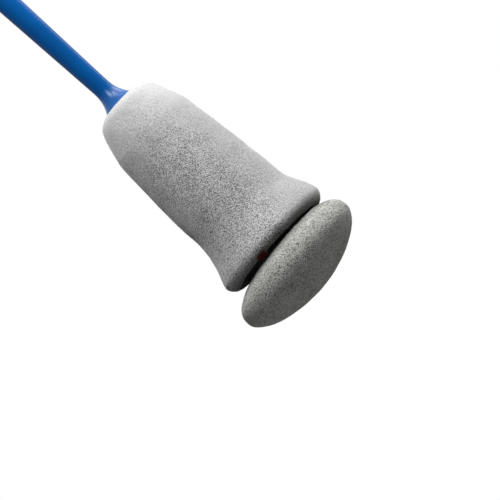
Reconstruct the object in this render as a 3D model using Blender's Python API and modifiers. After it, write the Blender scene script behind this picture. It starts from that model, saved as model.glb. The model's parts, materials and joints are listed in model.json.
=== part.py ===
"""Sponge cup brush: a blue handle with a collar and spigot, and a pull-off foam head.

The head is a bell-shaped barrel of foam on a keyed sleeve, and a lens-shaped foam tip
that leans on a ball stud inside the barrel's hollow mouth. +Z is up, the brush hangs
by its eye, and the origin is where a hook bears in the eye. Lengths are in metres.
Heights are measured up from the collar's rim and depths down from it.
"""

import math

import bmesh
import bpy
from mathutils import Matrix, Vector

OBJECT_NAME = "sponge_cup_brush"

# Gaps between pieces
FIT_GAP = 0.0003
SLIDE_GAP = 0.0004
RING_GAP = 0.00015
RING_SEAT_GAP = 0.00005
CUT_OVERRUN = 0.002

# Handle above the collar
HANDLE_LENGTH = 0.178
HANG_WALL = 0.0045
EYE_WIDTH = 0.008
EYE_HEIGHT = 0.014
GRIP_WIDTH = 0.0184
GRIP_THICKNESS = 0.0108
GRIP_END_ROUND = 0.014
GRIP_START_HEIGHT = 0.112
SHAFT_END_HEIGHT = 0.058
SHAFT_RADIUS = 0.0045
NECK_RADIUS = 0.0037
FLARE_HEIGHT = 0.008
COLLAR_THICKNESS = 0.001
COLLAR_ROUND = 0.0004
FLARE_POWER = 2.5
GRIP_END_POWER = 2.4

# Steel core and the spigot round it
ROD_RADIUS = 0.002
ROD_BURIAL = 0.095
ROD_TIP_SETBACK = 0.006
SPIGOT_WALL = 0.002
SPIGOT_CHAMFER = 0.0006
KEY_RISE = 0.0009
KEY_WIDTH = 0.0016
KEY_LENGTH = 0.029
RING_THICKNESS = 0.0011
RING_SETBACK = 0.012
NOSE_HEIGHT = 0.0022
NOSE_SETBACK = 0.001

# Sleeve and its plug
SLEEVE_WALL = 0.0016
COLLAR_OVERHANG = 0.0006
PLUG_FLANGE = 0.0018
PLUG_SHANK = 0.0038
PLUG_ROOF = 0.001

# Foam barrel
BARREL_LIP_RADIUS = 0.0254
BARREL_LIP_DEPTH = 0.0782
MOUTH_RISE = 0.00035
MOUTH_CLEARANCE = 0.0003
BARREL_SIDE_SHARES = (
    (0.374, 0.006),
    (0.480, 0.024),
    (0.547, 0.054),
    (0.618, 0.115),
    (0.675, 0.175),
    (0.715, 0.238),
    (0.760, 0.408),
    (0.801, 0.614),
    (0.819, 0.792),
    (0.870, 0.885),
    (0.943, 0.946),
    (1.000, 1.000),
)
LIP_LOWEST_SHARE = 0.850
BARREL_LIP_SHARES = (
    (0.974, 0.50),
    (0.921, 0.89),
    (LIP_LOWEST_SHARE, 1.00),
    (0.764, 0.79),
    (0.610, 0.28),
    (0.472, 0.00),
)

# Foam waist and tip
WAIST_RADIUS = 0.008
WAIST_HEIGHT = 0.00345
TIP_RADIUS = 0.0293
TIP_CROWN = 0.0102
TIP_BELLY = 0.0127
CROWN_POWER = 2.6
BELLY_POWER = 1.78
TIP_LEAN = math.radians(3.27)
TIP_ROCK = math.radians(2.0)

# Ball stud and socket
STUD_RADIUS = 0.0016
BALL_RADIUS = 0.0034
SOCKET_WALL = 0.0023
SOCKET_FLOOR = 0.0015
SOCKET_LIP_SHARE = 0.54

# Tab in the groove
TAG_WIDTH = 0.0040
TAG_LENGTH = 0.0030
TAG_THICKNESS = 0.0004
TAG_STANDOFF = 0.00045
TAG_TURN = math.radians(17.9)

# Facets
LARGE_STEPS = 48
SMALL_STEPS = 24
SPAN_STEPS = 2
ROUND_STEPS = 8
RING_STEPS = 10
SMOOTH_ANGLE = math.radians(35)
MERGE_DISTANCE = 0.00001

# Worked out from the sizes above
COLLAR_Z = HANG_WALL - HANDLE_LENGTH
ROD_BORE = ROD_RADIUS + FIT_GAP
SPIGOT_RADIUS = ROD_BORE + SPIGOT_WALL
SLEEVE_BORE = SPIGOT_RADIUS + SLIDE_GAP
SLEEVE_RADIUS = SLEEVE_BORE + SLEEVE_WALL
COLLAR_RADIUS = SLEEVE_RADIUS + COLLAR_OVERHANG
BARREL_BORE = SLEEVE_RADIUS + FIT_GAP
SEAT_RADIUS = COLLAR_RADIUS + FIT_GAP
SLEEVE_TOP = COLLAR_THICKNESS + FIT_GAP
MOUTH_ROOF = BARREL_LIP_DEPTH - MOUTH_RISE
PLUG_BOTTOM = MOUTH_ROOF - FIT_GAP - PLUG_FLANGE
PLUG_SEAT = PLUG_BOTTOM - PLUG_FLANGE
SLEEVE_BOTTOM = PLUG_SEAT - FIT_GAP
PLUG_TOP = PLUG_SEAT - PLUG_SHANK
NOSE_BOTTOM = PLUG_TOP - NOSE_SETBACK
SPIGOT_BOTTOM = NOSE_BOTTOM - NOSE_HEIGHT - FIT_GAP
ROD_BOTTOM = SPIGOT_BOTTOM - ROD_TIP_SETBACK
RING_OUTER = SLEEVE_BORE - RING_GAP
RING_CENTRE = RING_OUTER - RING_THICKNESS / 2
GROOVE_FLOOR = RING_OUTER - RING_THICKNESS - RING_SEAT_GAP
RING_DEPTH = SPIGOT_BOTTOM - RING_SETBACK
GROOVE_HALF = RING_THICKNESS / 2 + RING_SEAT_GAP
TIP_DEPTH = MOUTH_ROOF + WAIST_HEIGHT + TIP_CROWN
TIP_Z = COLLAR_Z - TIP_DEPTH
TIP_SWING = math.hypot(TIP_LEAN, TIP_ROCK)
SOCKET_CAVITY = BALL_RADIUS + FIT_GAP
SOCKET_RADIUS = SOCKET_CAVITY + SOCKET_WALL
SOCKET_BOTTOM = SOCKET_CAVITY + SOCKET_FLOOR
SOCKET_TOP = TIP_CROWN - 2 * FIT_GAP
SOCKET_BORE = SOCKET_RADIUS + FIT_GAP
STUD_TOP = PLUG_TOP + PLUG_ROOF + FIT_GAP


def clear_scene():
    """Removes whatever the scene holds."""
    for thing in list(bpy.data.objects):
        bpy.data.objects.remove(thing, do_unlink=True)


def new_collection(name):
    """A collection linked to the scene."""
    made = bpy.data.collections.new(name)
    bpy.context.scene.collection.children.link(made)
    return made


def principled(name, colour, roughness, metallic):
    """A material with one Principled BSDF."""
    made = bpy.data.materials.new(name)
    made.use_nodes = True
    shader = made.node_tree.nodes["Principled BSDF"]
    shader.inputs["Base Color"].default_value = (*colour, 1.0)
    shader.inputs["Roughness"].default_value = roughness
    shader.inputs["Metallic"].default_value = metallic
    made.diffuse_color = (*colour, 1.0)
    return made


def blue_plastic():
    """Satin blue polypropylene of the handle."""
    return principled("blue_plastic", (0.004, 0.085, 0.285), 0.38, 0.0)


def white_plastic():
    """Natural white plastic of the hidden sleeve."""
    return principled("white_plastic", (0.72, 0.72, 0.70), 0.45, 0.0)


def acetal():
    """Hard off-white plastic of the plugs and the socket."""
    return principled("acetal", (0.62, 0.61, 0.57), 0.35, 0.0)


def steel():
    """Bright drawn steel."""
    return principled("steel", (0.58, 0.58, 0.57), 0.28, 1.0)


def black_rubber():
    """Rubber of the retaining ring."""
    return principled("black_rubber", (0.012, 0.012, 0.013), 0.6, 0.0)


def grey_foam():
    """Open-celled grey foam."""
    return principled("grey_foam", (0.27, 0.27, 0.265), 0.95, 0.0)


def red_cloth():
    """Woven red cloth of the tab."""
    return principled("red_cloth", (0.22, 0.012, 0.010), 0.85, 0.0)


def smooth_line(points):
    """Points along a Catmull-Rom curve through the given points, the given ones included."""
    knots = [Vector(p) for p in points]
    ends = [2 * knots[0] - knots[1]] + knots + [2 * knots[-1] - knots[-2]]
    line = []
    for i in range(len(knots) - 1):
        a, b, c, d = ends[i : i + 4]
        for step in range(SPAN_STEPS):
            t = step / SPAN_STEPS
            line.append(
                (
                    2 * b
                    + (c - a) * t
                    + (2 * a - 5 * b + 4 * c - d) * t**2
                    + (3 * b - a - 3 * c + d) * t**3
                )
                / 2
            )
    return [tuple(p) for p in line] + [tuple(knots[-1])]


def dome(radius, height, power, steps):
    """Points from the pole down to the rim of a dome, as (radius, height above the rim)."""
    points = []
    for step in range(steps + 1):
        angle = math.pi / 2 * step / steps
        across = radius * math.sin(angle) ** (2 / power)
        up = height * math.cos(angle) ** (2 / power) if step < steps else 0.0
        points.append((across, up))
    return points


def ease(value, start, end):
    """0 before start, 1 after end, and a smooth rise between them."""
    share = min(max((value - start) / (end - start), 0.0), 1.0)
    return share * share * (3 - 2 * share)


def profile_mesh(name, outline, closed):
    """A wire of the outline's points, which lie at +X as (radius, height)."""
    points = [(x, 0.0, z) for x, z in outline]
    edges = [(i, i + 1) for i in range(len(points) - 1)]
    if closed:
        edges.append((len(points) - 1, 0))
    mesh = bpy.data.meshes.new(name)
    mesh.from_pydata(points, edges, [])
    return mesh


def turned(name, outline, steps, closed=False):
    """An outline turned about Z. It runs down the outer side, from top to bottom."""
    made = bpy.data.objects.new(name, profile_mesh(name, outline, closed))
    screw = made.modifiers.new("turn", "SCREW")
    screw.axis = "Z"
    screw.angle = 2 * math.pi
    screw.steps = steps
    screw.render_steps = steps
    screw.use_merge_vertices = True
    screw.merge_threshold = MERGE_DISTANCE
    screw.use_smooth_shade = True
    return made


def solid_of(made, group):
    """The evaluated mesh of an object, as a new object that replaces it."""
    group.objects.link(made)
    bpy.context.view_layer.update()
    evaluated = made.evaluated_get(bpy.context.evaluated_depsgraph_get())
    mesh = bpy.data.meshes.new_from_object(evaluated)
    name = made.name
    place = made.matrix_world.copy()
    bpy.data.objects.remove(made, do_unlink=True)
    mesh.name = name
    solid = bpy.data.objects.new(name, mesh)
    solid.matrix_world = place
    group.objects.link(solid)
    return solid


def box(name, size, centre):
    """A box of the given size about the given centre."""
    shape = bmesh.new()
    bmesh.ops.create_cube(shape, size=1.0)
    bmesh.ops.scale(shape, vec=size, verts=shape.verts)
    bmesh.ops.translate(shape, vec=centre, verts=shape.verts)
    mesh = bpy.data.meshes.new(name)
    shape.to_mesh(mesh)
    shape.free()
    return bpy.data.objects.new(name, mesh)


def flat_cutter(name, width, height, thickness, cutters):
    """A slot with round ends, standing in the XZ plane, its top at the origin."""
    radius = width / 2
    curve = bpy.data.curves.new(name, "CURVE")
    curve.dimensions = "2D"
    curve.fill_mode = "BOTH"
    curve.extrude = thickness / 2
    outline = []
    for end, start in ((-radius, 0.0), (radius - height, math.pi)):
        for step in range(ROUND_STEPS + 1):
            angle = start + math.pi * step / ROUND_STEPS
            outline.append((radius * math.cos(angle), end + radius * math.sin(angle)))
    spline = curve.splines.new("POLY")
    spline.points.add(len(outline) - 1)
    for point, (x, y) in zip(spline.points, outline):
        point.co = (x, y, 0.0, 1.0)
    spline.use_cyclic_u = True
    made = bpy.data.objects.new(name, curve)
    made.rotation_euler = (math.pi / 2, 0.0, 0.0)
    solid = solid_of(made, cutters)
    shape = bmesh.new()
    shape.from_mesh(solid.data)
    bmesh.ops.remove_doubles(shape, verts=shape.verts, dist=MERGE_DISTANCE)
    shape.to_mesh(solid.data)
    shape.free()
    return solid


def as_tool(tool, cutters):
    """Marks an object as a cutter or a joined shape, which isn't a part."""
    if tool.name not in cutters.objects:
        cutters.objects.link(tool)
    tool.hide_render = True
    tool.display_type = "WIRE"
    return tool


def combine(made, tool, operation, cutters):
    """Cuts or joins the tool's shape into a part."""
    change = made.modifiers.new(tool.name, "BOOLEAN")
    change.operation = operation
    change.solver = "EXACT"
    change.object = as_tool(tool, cutters)


def finish_part(made, parts, parent, material, smooth=True):
    """Links a part, hangs it on its parent and gives it its material and shading."""
    if made.name not in parts.objects:
        parts.objects.link(made)
    made.parent = parent
    made.data.materials.clear()
    made.data.materials.append(material)
    if smooth and made.data.polygons:
        made.data.shade_smooth()
        made.data.set_sharp_from_angle(angle=SMOOTH_ANGLE)
    return made


def pivot(name, parts, parent=None, place=(0.0, 0.0, 0.0), turn=(0.0, 0.0, 0.0)):
    """An empty that pieces hang on, at a joint's place."""
    made = bpy.data.objects.new(name, None)
    made.empty_display_size = COLLAR_RADIUS
    made.parent = parent
    made.location = place
    made.rotation_euler = turn
    parts.objects.link(made)
    return made


def grip_ease(height):
    """How far the handle has grown from shaft to grip at a height, from 0 to 1."""
    return ease(height, SHAFT_END_HEIGHT, GRIP_START_HEIGHT)


def handle_outline():
    """Half widths of the handle by height, from the free end to the spigot's end."""
    grip_half = GRIP_WIDTH / 2
    end_start = HANDLE_LENGTH - GRIP_END_ROUND
    points = []
    for across, up in dome(grip_half, GRIP_END_ROUND, GRIP_END_POWER, ROUND_STEPS):
        points.append((across, end_start + up))
    for step in range(ROUND_STEPS + 1):
        share = 1 - step / ROUND_STEPS
        height = SHAFT_END_HEIGHT + share * (GRIP_START_HEIGHT - SHAFT_END_HEIGHT)
        growth = grip_ease(height)
        points.append((SHAFT_RADIUS + growth * (grip_half - SHAFT_RADIUS), height))
    for step in range(ROUND_STEPS):
        share = 1 - step / ROUND_STEPS
        flare = (COLLAR_RADIUS - NECK_RADIUS) * (1 - share) ** FLARE_POWER
        points.append((NECK_RADIUS + flare, FLARE_HEIGHT * share))
    points.append((COLLAR_RADIUS, 0.0))
    points.append((COLLAR_RADIUS, COLLAR_ROUND - COLLAR_THICKNESS))
    points.append((COLLAR_RADIUS - COLLAR_ROUND, -COLLAR_THICKNESS))
    points.append((SPIGOT_RADIUS, -COLLAR_THICKNESS))
    points.append((SPIGOT_RADIUS, GROOVE_HALF - RING_DEPTH))
    points.append((GROOVE_FLOOR, GROOVE_HALF - RING_DEPTH))
    points.append((GROOVE_FLOOR, -GROOVE_HALF - RING_DEPTH))
    points.append((SPIGOT_RADIUS, -GROOVE_HALF - RING_DEPTH))
    points.append((SPIGOT_RADIUS, SPIGOT_CHAMFER - SPIGOT_BOTTOM))
    points.append((SPIGOT_RADIUS - SPIGOT_CHAMFER, -SPIGOT_BOTTOM))
    points.append((0.0, -SPIGOT_BOTTOM))
    return points


def flatten_grip(mesh):
    """Presses the turned grip to its oval section."""
    pressed = GRIP_THICKNESS / GRIP_WIDTH
    for vertex in mesh.vertices:
        vertex.co.y *= 1 - grip_ease(vertex.co.z) * (1 - pressed)


def key_box(name, reach, width, top, bottom):
    """A bar across the axis, from which two keys or key slots come."""
    size = (2 * reach, width, bottom - top)
    return box(name, size, (0.0, 0.0, -(top + bottom) / 2))


def make_handle(parts, cutters, parent):
    """Handle, collar and keyed spigot in one moulding, bored for its steel core."""
    made = solid_of(turned("handle", handle_outline(), LARGE_STEPS), parts)
    flatten_grip(made.data)
    keys = key_box(
        "handle_keys",
        SPIGOT_RADIUS + KEY_RISE,
        KEY_WIDTH,
        COLLAR_THICKNESS / 2,
        COLLAR_THICKNESS + KEY_LENGTH,
    )
    combine(made, keys, "UNION", cutters)
    bore = turned(
        "handle_bore",
        [
            (0.0, ROD_BURIAL),
            (ROD_BORE, ROD_BURIAL),
            (ROD_BORE, -SPIGOT_BOTTOM - CUT_OVERRUN),
            (0.0, -SPIGOT_BOTTOM - CUT_OVERRUN),
        ],
        SMALL_STEPS,
    )
    combine(made, solid_of(bore, cutters), "DIFFERENCE", cutters)
    depth = GRIP_THICKNESS + 2 * CUT_OVERRUN
    eye = flat_cutter("handle_eye", EYE_WIDTH, EYE_HEIGHT, depth, cutters)
    eye.location = (0.0, 0.0, HANDLE_LENGTH - HANG_WALL)
    eye.parent = parent
    for tool in (cutters.objects["handle_keys"], cutters.objects["handle_bore"]):
        tool.parent = parent
    combine(made, eye, "DIFFERENCE", cutters)
    return finish_part(made, parts, parent, blue_plastic())


def make_core_rod(parts, parent):
    """Steel rod that stiffens shaft and spigot, with chamfered ends."""
    top = ROD_BURIAL - FIT_GAP
    edge = ROD_RADIUS - SPIGOT_CHAMFER
    outline = [
        (0.0, top),
        (edge, top),
        (ROD_RADIUS, top - SPIGOT_CHAMFER),
        (ROD_RADIUS, SPIGOT_CHAMFER - ROD_BOTTOM),
        (edge, -ROD_BOTTOM),
        (0.0, -ROD_BOTTOM),
    ]
    return finish_part(turned("core_rod", outline, SMALL_STEPS), parts, parent, steel())


def make_spigot_nose(parts, parent):
    """Round plug that closes the rod's bore and leads the spigot into the sleeve."""
    rim = SPIGOT_BOTTOM + FIT_GAP
    outline = [
        (0.0, -ROD_BOTTOM - FIT_GAP),
        (ROD_RADIUS, -ROD_BOTTOM - FIT_GAP),
        (ROD_RADIUS, -rim),
    ]
    half = NOSE_HEIGHT / 2
    outline.append((SPIGOT_RADIUS - SPIGOT_CHAMFER, -rim))
    for across, down in reversed(dome(SPIGOT_RADIUS - SPIGOT_CHAMFER, half, 2, ROUND_STEPS)):
        outline.append((across, -rim - half - down))
    made = turned("spigot_nose", outline, SMALL_STEPS)
    return finish_part(made, parts, parent, acetal())


def make_retaining_ring(parts, parent):
    """Rubber ring in the spigot's groove."""
    half = RING_THICKNESS / 2
    outline = []
    for step in range(RING_STEPS):
        angle = -2 * math.pi * step / RING_STEPS
        outline.append((RING_CENTRE + half * math.cos(angle), half * math.sin(angle) - RING_DEPTH))
    made = turned("retaining_ring", outline, SMALL_STEPS, closed=True)
    return finish_part(made, parts, parent, black_rubber())


def make_sleeve(parts, cutters, parent):
    """Tube glued in the barrel, with two slots for the spigot's keys."""
    outline = [
        (SLEEVE_BORE, -SLEEVE_TOP),
        (SLEEVE_RADIUS, -SLEEVE_TOP),
        (SLEEVE_RADIUS, -SLEEVE_BOTTOM),
        (SLEEVE_BORE, -SLEEVE_BOTTOM),
    ]
    made = solid_of(turned("sleeve", outline, SMALL_STEPS, closed=True), parts)
    slots = key_box(
        "sleeve_slots",
        SPIGOT_RADIUS + KEY_RISE + FIT_GAP,
        KEY_WIDTH + 2 * FIT_GAP,
        SLEEVE_TOP - CUT_OVERRUN,
        COLLAR_THICKNESS + KEY_LENGTH + FIT_GAP,
    )
    combine(made, slots, "DIFFERENCE", cutters)
    slots.parent = parent
    return finish_part(made, parts, parent, white_plastic())


def make_sleeve_plug(parts, parent):
    """Flanged plug in the sleeve's lower end, bored from below for the stud."""
    shank = SLEEVE_BORE - FIT_GAP
    hole = STUD_RADIUS + FIT_GAP
    outline = [
        (0.0, -PLUG_TOP),
        (shank - SPIGOT_CHAMFER, -PLUG_TOP),
        (shank, -PLUG_TOP - SPIGOT_CHAMFER),
        (shank, -PLUG_SEAT),
        (SLEEVE_RADIUS, -PLUG_SEAT),
        (SLEEVE_RADIUS, -PLUG_BOTTOM),
        (hole, -PLUG_BOTTOM),
        (hole, -PLUG_TOP - PLUG_ROOF),
        (0.0, -PLUG_TOP - PLUG_ROOF),
    ]
    return finish_part(turned("sleeve_plug", outline, SMALL_STEPS), parts, parent, acetal())


def make_ball_stud(parts, parent):
    """Stud from the plug to the middle of the tip, with a ball at its end."""
    neck = math.asin(STUD_RADIUS / BALL_RADIUS)
    outline = [(0.0, -STUD_TOP), (STUD_RADIUS, -STUD_TOP)]
    for step in range(ROUND_STEPS + 1):
        angle = neck + (math.pi - neck) * step / ROUND_STEPS
        across = BALL_RADIUS * math.sin(angle) if step < ROUND_STEPS else 0.0
        outline.append((across, BALL_RADIUS * math.cos(angle) - TIP_DEPTH))
    return finish_part(turned("ball_stud", outline, SMALL_STEPS), parts, parent, steel())


def tip_surface(radius):
    """Height of the tip's upper face above the tip's middle at a radius."""
    return TIP_CROWN * (1 - (radius / TIP_RADIUS) ** CROWN_POWER) ** (1 / CROWN_POWER)


def lip_drop():
    """How far the lip hangs below its widest place, so that the leaning tip clears it."""
    radius = LIP_LOWEST_SHARE * BARREL_LIP_RADIUS
    room = radius * math.sin(TIP_SWING) + MOUTH_CLEARANCE
    return TIP_DEPTH - tip_surface(radius) - room - BARREL_LIP_DEPTH


def mouth_line():
    """The barrel's lip and mouth, from its widest place in to the roof."""
    drop = lip_drop()
    knots = []
    for across, down in BARREL_LIP_SHARES:
        knots.append((across * BARREL_LIP_RADIUS, -BARREL_LIP_DEPTH - down * drop))
    return knots


def make_sponge_barrel(parts, parent):
    """Bell of foam: domed top, slim waist, flared lip and hollow mouth."""
    side = [(SEAT_RADIUS, 0.0)]
    for across, down in BARREL_SIDE_SHARES:
        side.append((across * BARREL_LIP_RADIUS, -down * BARREL_LIP_DEPTH))
    outline = smooth_line(side + mouth_line() + [(WAIST_RADIUS, -MOUTH_ROOF)])
    outline.append((BARREL_BORE, -MOUTH_ROOF))
    outline.append((BARREL_BORE, -SLEEVE_TOP - FIT_GAP))
    outline.append((SEAT_RADIUS, -SLEEVE_TOP - FIT_GAP))
    made = turned("sponge_barrel", outline, LARGE_STEPS, closed=True)
    return finish_part(made, parts, parent, grey_foam())


def make_groove_tag(parts, parent):
    """Small plain tab that lies on the lip, where the lip turns into the groove."""
    outer, inner = mouth_line()[:2]
    slope = math.atan2(outer[1] - inner[1], outer[0] - inner[0])
    size = (TAG_WIDTH, TAG_LENGTH, TAG_THICKNESS)
    made = box("groove_tag", size, (0.0, 0.0, -TAG_STANDOFF - TAG_THICKNESS / 2))
    finish_part(made, parts, parent, red_cloth(), smooth=False)
    made.matrix_local = (
        Matrix.Rotation(-TAG_TURN, 4, "Z")
        @ Matrix.Translation((0.0, -(outer[0] + inner[0]) / 2, (outer[1] + inner[1]) / 2))
        @ Matrix.Rotation(-slope, 4, "X")
    )
    return made


def make_sponge_neck(parts, parent):
    """Waist of foam round the stud. Its lower face leans with the tip."""
    lower = TIP_CROWN + FIT_GAP
    hole_top = STUD_RADIUS + FIT_GAP
    hole_low = hole_top + lower * math.tan(TIP_SWING)
    top = MOUTH_ROOF + FIT_GAP
    boss = BARREL_BORE - FIT_GAP
    outline = [
        (hole_top, -PLUG_BOTTOM - FIT_GAP),
        (boss, -PLUG_BOTTOM - FIT_GAP),
        (boss, -top),
        (WAIST_RADIUS, -top),
        (WAIST_RADIUS, lower - TIP_DEPTH),
        (hole_low, lower - TIP_DEPTH),
    ]
    made = solid_of(turned("sponge_neck", outline, SMALL_STEPS, closed=True), parts)
    lean = Matrix.Rotation(-TIP_LEAN, 4, "Y")
    middle = Vector((0.0, 0.0, -TIP_DEPTH))
    for vertex in made.data.vertices:
        if vertex.co.z < -top - FIT_GAP:
            vertex.co = lean @ (vertex.co - middle) + middle
    return finish_part(made, parts, parent, grey_foam())


def make_sponge_tip(parts, parent):
    """Lens of foam, flatter above than below, bored from above for its socket."""
    outline = []
    for across, up in dome(TIP_RADIUS, TIP_CROWN, CROWN_POWER, ROUND_STEPS):
        if across > SOCKET_BORE:
            outline.append((across, up))
    outline.insert(0, (SOCKET_BORE, tip_surface(SOCKET_BORE)))
    belly = list(reversed(dome(TIP_RADIUS, TIP_BELLY, BELLY_POWER, ROUND_STEPS)))
    outline += [(across, -down) for across, down in belly[1:]]
    outline.append((0.0, -SOCKET_BOTTOM - FIT_GAP))
    outline.append((SOCKET_BORE, -SOCKET_BOTTOM - FIT_GAP))
    made = turned("sponge_tip", outline, LARGE_STEPS, closed=True)
    return finish_part(made, parts, parent, grey_foam())


def make_tip_socket(parts, parent):
    """Socket sunk in the tip. Its mouth is narrower than the ball that it holds."""
    lip = SOCKET_LIP_SHARE * SOCKET_CAVITY
    start = math.acos(SOCKET_LIP_SHARE)
    mouth = STUD_RADIUS + FIT_GAP + SOCKET_TOP * math.tan(TIP_SWING)
    outline = [
        (mouth, SOCKET_TOP),
        (SOCKET_RADIUS, SOCKET_TOP),
        (SOCKET_RADIUS, -SOCKET_BOTTOM),
        (0.0, -SOCKET_BOTTOM),
    ]
    for step in range(ROUND_STEPS + 1):
        angle = math.pi + (start - math.pi) * step / ROUND_STEPS
        across = SOCKET_CAVITY * math.sin(angle) if step > 0 else 0.0
        up = SOCKET_CAVITY * math.cos(angle) if step < ROUND_STEPS else lip
        outline.append((across, up))
    made = turned("tip_socket", outline, SMALL_STEPS, closed=True)
    return finish_part(made, parts, parent, acetal())


def main():
    """Builds the brush hanging by its eye."""
    clear_scene()
    parts = new_collection(OBJECT_NAME)
    cutters = new_collection("cutters")
    collar = pivot("collar", parts, place=(0.0, 0.0, COLLAR_Z))
    head = pivot("head_slide", parts, parent=collar)
    tip = pivot(
        "tip_pivot",
        parts,
        parent=head,
        place=(0.0, 0.0, -TIP_DEPTH),
        turn=(0.0, -TIP_LEAN, 0.0),
    )
    make_handle(parts, cutters, collar)
    make_core_rod(parts, collar)
    make_spigot_nose(parts, collar)
    make_retaining_ring(parts, collar)
    make_sleeve(parts, cutters, head)
    make_sleeve_plug(parts, head)
    make_ball_stud(parts, head)
    make_sponge_barrel(parts, head)
    make_groove_tag(parts, head)
    make_sponge_neck(parts, head)
    make_sponge_tip(parts, tip)
    make_tip_socket(parts, tip)


if __name__ == "__main__":
    main()
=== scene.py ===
"""Looks of the sponge cup brush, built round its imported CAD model.

The brush hangs by its eye at the origin, with +Z up. Lengths are in metres. Each sub-assembly
is a class that builds its pieces with bmesh and gives them a finish.
"""

import json
import logging
import math
from dataclasses import dataclass
from enum import Enum
from typing import Callable, Iterable, Optional, Sequence, Union

import bmesh
import bpy
from mathutils import Matrix, Vector, noise


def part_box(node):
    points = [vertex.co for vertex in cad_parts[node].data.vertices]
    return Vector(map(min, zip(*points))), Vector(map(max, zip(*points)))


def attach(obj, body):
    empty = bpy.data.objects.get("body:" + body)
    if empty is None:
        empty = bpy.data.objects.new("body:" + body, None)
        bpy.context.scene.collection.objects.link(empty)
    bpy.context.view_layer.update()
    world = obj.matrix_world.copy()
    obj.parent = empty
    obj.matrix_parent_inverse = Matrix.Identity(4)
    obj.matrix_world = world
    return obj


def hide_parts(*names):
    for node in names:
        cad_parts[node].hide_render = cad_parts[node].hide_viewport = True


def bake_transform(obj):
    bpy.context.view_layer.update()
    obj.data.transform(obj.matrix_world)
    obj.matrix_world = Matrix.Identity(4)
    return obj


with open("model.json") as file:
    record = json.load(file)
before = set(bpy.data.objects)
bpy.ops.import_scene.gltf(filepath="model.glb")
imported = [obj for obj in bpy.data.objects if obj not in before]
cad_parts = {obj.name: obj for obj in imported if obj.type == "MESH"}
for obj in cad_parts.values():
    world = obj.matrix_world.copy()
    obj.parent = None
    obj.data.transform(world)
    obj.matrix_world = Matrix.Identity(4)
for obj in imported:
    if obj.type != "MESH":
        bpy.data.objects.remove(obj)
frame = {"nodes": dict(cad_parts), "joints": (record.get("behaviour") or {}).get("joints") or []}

Colour = tuple[float, float, float]
Outline = list[tuple[float, float]]

MERGE_DISTANCE = 1e-6
SHARP_ANGLE = math.radians(40)
ROUND_STEPS = 64
MILLIMETRE = 0.001

# How far from its middle a pore starts and is deepest, as shares of its cell
PORE_EDGE_SHARE = 0.5
PORE_FLOOR_SHARE = 0.1
# The chance numbers, from 0 to 1 in each cell, that give no pore and the deepest one
NO_PORE_SHARE = -0.1
DEEP_PORE_SHARE = 0.8

# Height of the collar's rim, where the foam starts
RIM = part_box("sponge_barrel")[1].z

log = logging.getLogger("brush")


class Body(Enum):
    """The bodies that pieces ride on."""

    HANDLE = "handle"
    HEAD = "head"
    NECK = "neck"
    TIP = "tip"


class Slot(Enum):
    """The record's material slots, named for the dressed pieces."""

    BLUE = "blue_plastic"
    WHITE = "white_plastic"
    ACETAL = "acetal"
    RUBBER = "black_rubber"
    FOAM = "grey_foam"
    CLOTH = "red_cloth"


class Space(Enum):
    """The coordinates that a pattern can follow."""

    OBJECT = "Object"
    SURFACE = "UV"


class Axis(Enum):
    """The coordinates of a place."""

    X = "X"
    Y = "Y"
    Z = "Z"


class Change(Enum):
    """What a tool does to a piece."""

    JOIN = "UNION"
    CUT = "DIFFERENCE"


class Number:
    """A socket that carries a number. Arithmetic on it adds Math nodes."""

    def __init__(self, graph: "Graph", socket: bpy.types.NodeSocket) -> None:
        """Wraps a socket of the graph's tree."""
        self.graph = graph
        self.socket = socket

    def __add__(self, other: "Operand") -> "Number":
        """Sum."""
        return self.graph.math("ADD", self, other)

    def __radd__(self, other: "Operand") -> "Number":
        """Sum with a number on the left."""
        return self.graph.math("ADD", other, self)

    def __sub__(self, other: "Operand") -> "Number":
        """Difference."""
        return self.graph.math("SUBTRACT", self, other)

    def __rsub__(self, other: "Operand") -> "Number":
        """Difference from a number on the left."""
        return self.graph.math("SUBTRACT", other, self)

    def __mul__(self, other: "Operand") -> "Number":
        """Product."""
        return self.graph.math("MULTIPLY", self, other)

    def __rmul__(self, other: "Operand") -> "Number":
        """Product with a number on the left."""
        return self.graph.math("MULTIPLY", other, self)

    def between(self, low: float, high: float) -> "Number":
        """A smooth rise from 0 at low to 1 at high.

        Args:
            low: value at which the rise starts.
            high: value at which it ends, which may be the lower one.

        Returns:
            The eased number.
        """
        node = self.graph.add(
            "ShaderNodeMapRange",
            {"interpolation_type": "SMOOTHSTEP"},
            {"Value": self, "From Min": low, "From Max": high},
        )
        return Number(self.graph, node.outputs["Result"])


Operand = Union[Number, float]
Link = Union[Number, bpy.types.NodeSocket, float, tuple]


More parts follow.
